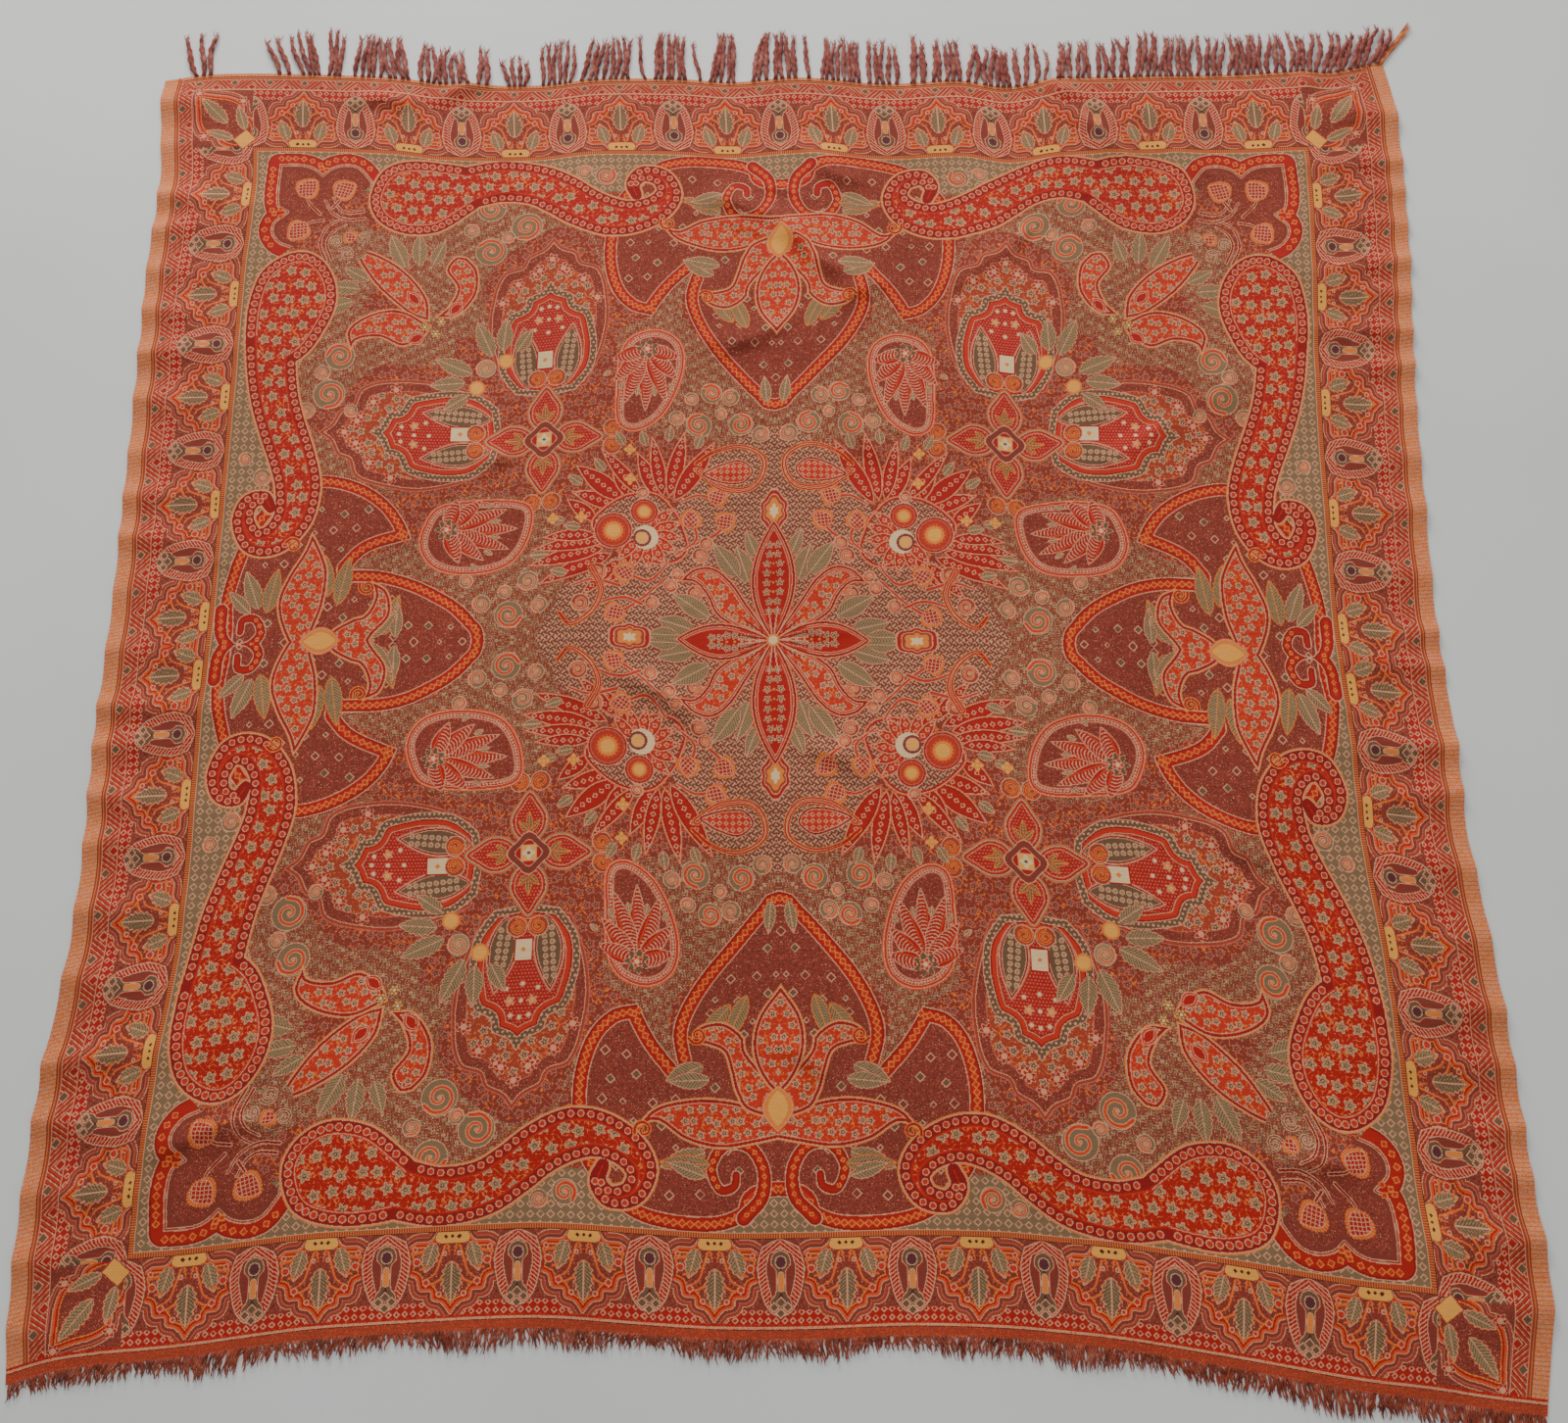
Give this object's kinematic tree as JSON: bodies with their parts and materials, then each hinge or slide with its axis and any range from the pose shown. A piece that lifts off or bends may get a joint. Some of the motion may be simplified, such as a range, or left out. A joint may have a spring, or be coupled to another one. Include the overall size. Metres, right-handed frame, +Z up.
{
  "type": "paisley shawl",
  "caption": "Square woven wool shawl laid out flat, with a mirrored paisley field, palmette border, rippled selvedges, twisted tassels at one end and a short frayed fringe at the other.",
  "frame": {"origin": "middle of the floor area that the whole shawl covers, fringes included, on the floor it lies on", "axes": "+Z up from the floor through the cloth, +Y along the warp toward the end with the long twisted tassels, +X along the weft toward the right selvedge as seen from the near end"},
  "size_m": [1.3474, 1.4304, 0.0074],
  "materials": {
    "woven_wool": "matte twill-woven wool in crimson, orange-red, peach, khaki and brown-maroon",
    "warp_tassels": "matte rust-maroon wool twisted by hand, frayed at the tips",
    "frayed_warp": "matte rust-brown loose wool threads"
  },
  "bodies": {
    "root": {"shawl_cloth": "woven_wool", "far_fringe": "warp_tassels", "near_fringe": "frayed_warp"}
  },
  "joints": []
}
